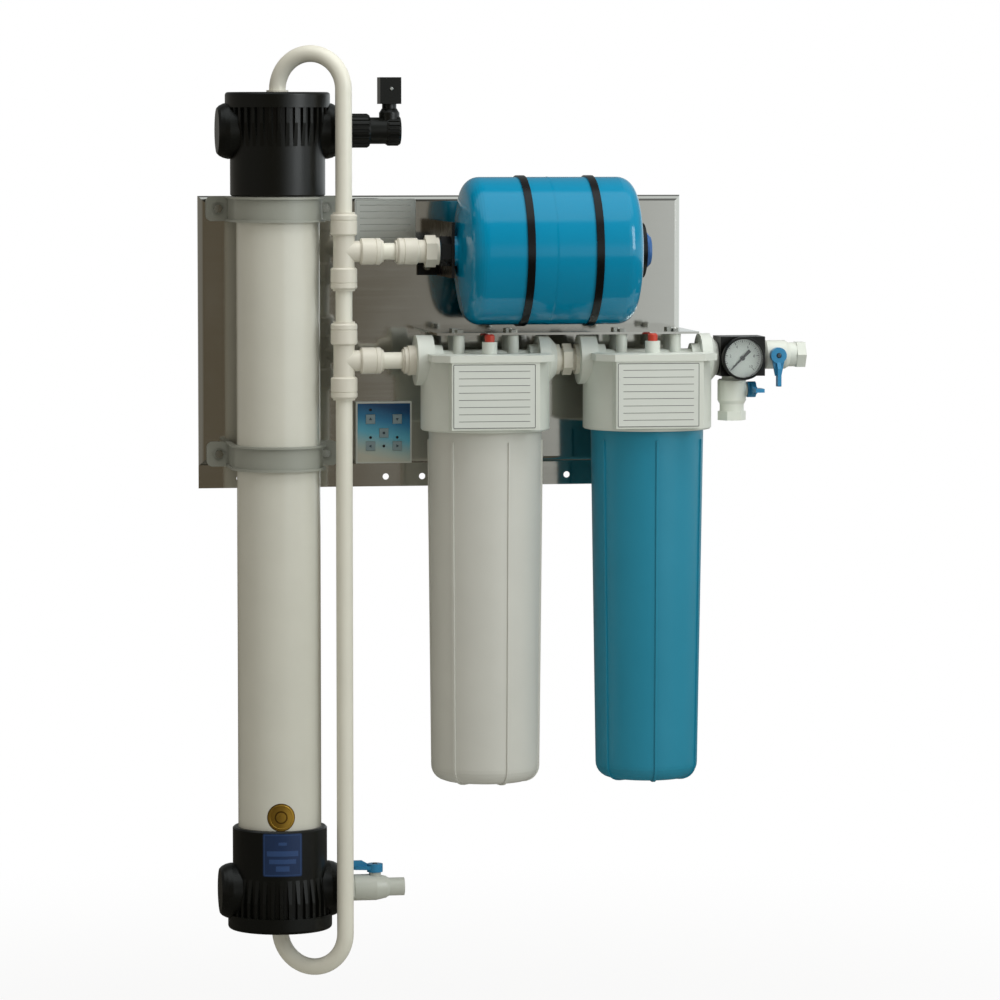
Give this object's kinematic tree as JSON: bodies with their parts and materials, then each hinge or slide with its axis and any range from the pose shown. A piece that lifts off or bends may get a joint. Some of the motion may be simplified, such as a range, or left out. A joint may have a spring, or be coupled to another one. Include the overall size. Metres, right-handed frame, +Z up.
{
  "type": "water filtration unit",
  "caption": "Wall-mounted water filtration unit: steel panel with membrane vessel, pressure tank, cartridge housings, push-fit pipes, ball valves, gauge and keypad.",
  "frame": {"origin": "wall plane at the middle of the row of wall holes", "axes": "+X right along the wall, +Y into the wall, +Z up"},
  "size_m": [0.7945, 0.2311, 1.2272],
  "materials": {
    "panel_steel": "polished",
    "bracket_steel": "satin",
    "screw_steel": "satin",
    "head_plastic": "satin moulded",
    "white_sump": "satin moulded",
    "blue_sump": "satin moulded",
    "pipe_plastic": "satin",
    "valve_plastic": "gloss",
    "lever_plastic": "gloss",
    "black_plastic": "satin",
    "tube_plastic": "satin",
    "clamp_plastic": "translucent",
    "saddle_rubber": "matt",
    "seal_rubber": "matt",
    "tank_paint": "gloss",
    "black_paint": "satin",
    "cap_plastic": "gloss",
    "membrane_fibre": "matt",
    "cartridge_media": "matt",
    "ball_chrome": "polished",
    "seat_plastic": "satin",
    "dial_paint": "satin",
    "gauge_glass": "clear",
    "pointer_paint": "satin",
    "button_plastic": "gloss",
    "keypad_plastic": "satin",
    "overlay_film": "gloss",
    "key_film": "gloss"
  },
  "bodies": {
    "frame": {"back_panel": "panel_steel", "filter_bracket": "bracket_steel", "screws": "screw_steel", "carbon_head": "head_plastic", "sediment_head": "head_plastic", "o_rings": "seal_rubber", "filter_nipples": "pipe_plastic", "filter_port_adapter": "pipe_plastic", "inlet_manifold": "black_plastic", "gauge_case": "black_plastic", "gauge_dial": "dial_paint", "gauge_lens": "gauge_glass", "inlet_valve_body": "valve_plastic", "bleed_valve_body": "valve_plastic", "drain_valve_body": "valve_plastic", "valve_seats": "seat_plastic", "vessel_tube": "tube_plastic", "top_head": "black_plastic", "bottom_head": "black_plastic", "end_covers": "black_plastic", "membrane_element": "membrane_fibre", "vessel_clamps": "clamp_plastic", "vessel_saddles": "saddle_rubber", "solenoid_valve_body": "black_plastic", "solenoid_coil": "black_plastic", "upper_tee": "pipe_plastic", "lower_tee": "pipe_plastic", "pipe_collets": "pipe_plastic", "arch_pipe": "pipe_plastic", "link_pipes": "pipe_plastic", "riser_pipe": "pipe_plastic", "tank_adapter": "pipe_plastic", "tank_union_nut": "pipe_plastic", "tank_shell": "tank_paint", "tank_diaphragm": "seal_rubber", "tank_air_valve": "black_plastic", "tank_cap": "cap_plastic", "tank_bracket": "black_paint", "tank_straps": "black_paint", "tank_saddles": "saddle_rubber", "keypad_housing": "keypad_plastic", "keypad_overlay": "overlay_film"},
    "inlet_handle": {"inlet_lever": "lever_plastic", "inlet_ball": "ball_chrome"},
    "bleed_handle": {"bleed_lever": "lever_plastic", "bleed_ball": "ball_chrome"},
    "drain_handle": {"drain_lever": "lever_plastic", "drain_ball": "ball_chrome"},
    "gauge_needle": {"gauge_pointer": "pointer_paint"},
    "carbon_core": {"carbon_cartridge": "cartridge_media"},
    "carbon_bowl": {"carbon_sump": "white_sump"},
    "sediment_core": {"sediment_cartridge": "cartridge_media"},
    "sediment_bowl": {"sediment_sump": "blue_sump"},
    "carbon_relief": {"carbon_relief_button": "button_plastic"},
    "sediment_relief": {"sediment_relief_button": "button_plastic"},
    "key_1": {"keypad_key_1": "key_film"},
    "key_2": {"keypad_key_2": "key_film"},
    "key_3": {"keypad_key_3": "key_film"},
    "key_4": {"keypad_key_4": "key_film"},
    "key_5": {"keypad_key_5": "key_film"}
  },
  "joints": [
    {"name": "inlet_lever_turn", "type": "hinge", "parent": "frame", "child": "inlet_handle", "pos_m": [0.4285, -0.132, 0.166], "axis": [0, -1, 0], "range_deg": [0, 90]},
    {"name": "bleed_lever_turn", "type": "hinge", "parent": "frame", "child": "bleed_handle", "pos_m": [0.3715, -0.132, 0.12], "axis": [1, 0, 0], "range_deg": [0, 90]},
    {"name": "drain_lever_turn", "type": "hinge", "parent": "frame", "child": "drain_handle", "pos_m": [-0.101, -0.084, -0.5415], "axis": [0, 0, 1], "range_deg": [0, 90]},
    {"name": "gauge_needle_turn", "type": "hinge", "parent": "frame", "child": "gauge_needle", "pos_m": [0.379, -0.132, 0.163], "axis": [0, 1, 0], "range_deg": [0, 270], "stiffness_Nm_per_rad": 0.0006, "springref_deg": -17.19},
    {"name": "carbon_relief_press", "type": "slide", "parent": "frame", "child": "carbon_relief", "axis": [0, 0, -1], "range_m": [0, 0.003], "stiffness_N_per_m": 300, "springref_m": -0.001},
    {"name": "carbon_bowl_drop", "type": "slide", "parent": "frame", "child": "carbon_core", "axis": [0, 0, -1], "range_m": [0, 0.018]},
    {"name": "carbon_bowl_turn", "type": "hinge", "parent": "carbon_core", "child": "carbon_bowl", "pos_m": [0.04, -0.132, -0.1], "axis": [0, 0, -1], "range_deg": [0, 1080]},
    {"name": "sediment_relief_press", "type": "slide", "parent": "frame", "child": "sediment_relief", "axis": [0, 0, -1], "range_m": [0, 0.003], "stiffness_N_per_m": 300, "springref_m": -0.001},
    {"name": "sediment_bowl_drop", "type": "slide", "parent": "frame", "child": "sediment_core", "axis": [0, 0, -1], "range_m": [0, 0.018]},
    {"name": "sediment_bowl_turn", "type": "hinge", "parent": "sediment_core", "child": "sediment_bowl", "pos_m": [0.257, -0.132, -0.1], "axis": [0, 0, -1], "range_deg": [0, 1080]},
    {"name": "key_1_press", "type": "slide", "parent": "frame", "child": "key_1", "axis": [0, 1, 0], "range_m": [0, 0.0006], "stiffness_N_per_m": 800, "springref_m": -0.0004},
    {"name": "key_2_press", "type": "slide", "parent": "frame", "child": "key_2", "axis": [0, 1, 0], "range_m": [0, 0.0006], "stiffness_N_per_m": 800, "springref_m": -0.0004},
    {"name": "key_3_press", "type": "slide", "parent": "frame", "child": "key_3", "axis": [0, 1, 0], "range_m": [0, 0.0006], "stiffness_N_per_m": 800, "springref_m": -0.0004},
    {"name": "key_4_press", "type": "slide", "parent": "frame", "child": "key_4", "axis": [0, 1, 0], "range_m": [0, 0.0006], "stiffness_N_per_m": 800, "springref_m": -0.0004},
    {"name": "key_5_press", "type": "slide", "parent": "frame", "child": "key_5", "axis": [0, 1, 0], "range_m": [0, 0.0006], "stiffness_N_per_m": 800, "springref_m": -0.0004}
  ],
  "couplings": [
    {"joint": "carbon_bowl_drop", "follows": "carbon_bowl_turn", "m_per_rad": 0.00095},
    {"joint": "sediment_bowl_drop", "follows": "sediment_bowl_turn", "m_per_rad": 0.00095}
  ]
}
